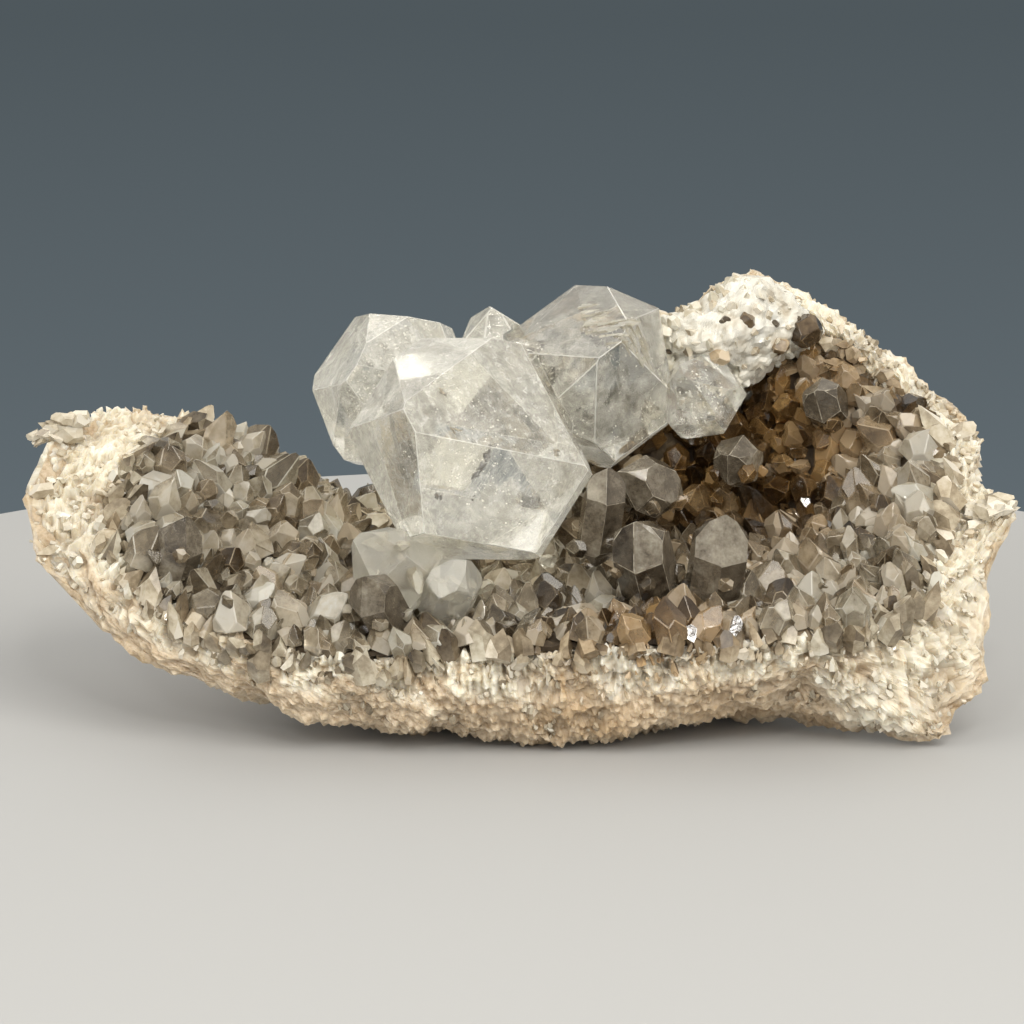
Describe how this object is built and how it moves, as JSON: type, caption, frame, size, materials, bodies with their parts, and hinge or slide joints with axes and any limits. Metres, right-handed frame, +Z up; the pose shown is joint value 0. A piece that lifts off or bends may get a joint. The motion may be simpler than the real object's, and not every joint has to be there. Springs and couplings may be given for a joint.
{
  "type": "herkimer diamond specimen",
  "caption": "Clear doubly terminated quartz crystals standing on a dish-shaped crust of cream rock lined with small smoky quartz crystals.",
  "frame": {"origin": "middle of the specimen's box, at the height of the flat spot it rests on", "axes": "+X to the specimen's right and along its length, +Y to the back, +Z up"},
  "size_m": [0.0612, 0.0276, 0.0257],
  "materials": {
    "crust": "rough broken rock, tan skin",
    "smoky_druse": "sparkling carpet of small smoky quartz crystals",
    "white_quartz": "sugary white quartz",
    "clear_quartz": "clear natural crystal faces",
    "milky_quartz": "pale milky crystal faces",
    "smoky_quartz": "smoky crystal faces"
  },
  "bodies": {
    "root": {"crust": "crust", "smoky_druse": "smoky_druse", "white_quartz_ledge": "white_quartz", "front_crystal": "clear_quartz", "left_crystal": "clear_quartz", "middle_crystal": "clear_quartz", "right_crystal": "clear_quartz", "far_right_crystal": "clear_quartz", "foot_left_crystal": "milky_quartz", "foot_right_crystal": "milky_quartz", "smoky_1_crystal": "smoky_quartz", "smoky_2_crystal": "smoky_quartz", "smoky_3_crystal": "smoky_quartz", "smoky_4_crystal": "smoky_quartz", "smoky_5_crystal": "smoky_quartz", "smoky_6_crystal": "smoky_quartz", "smoky_7_crystal": "smoky_quartz", "smoky_8_crystal": "smoky_quartz"}
  },
  "joints": []
}
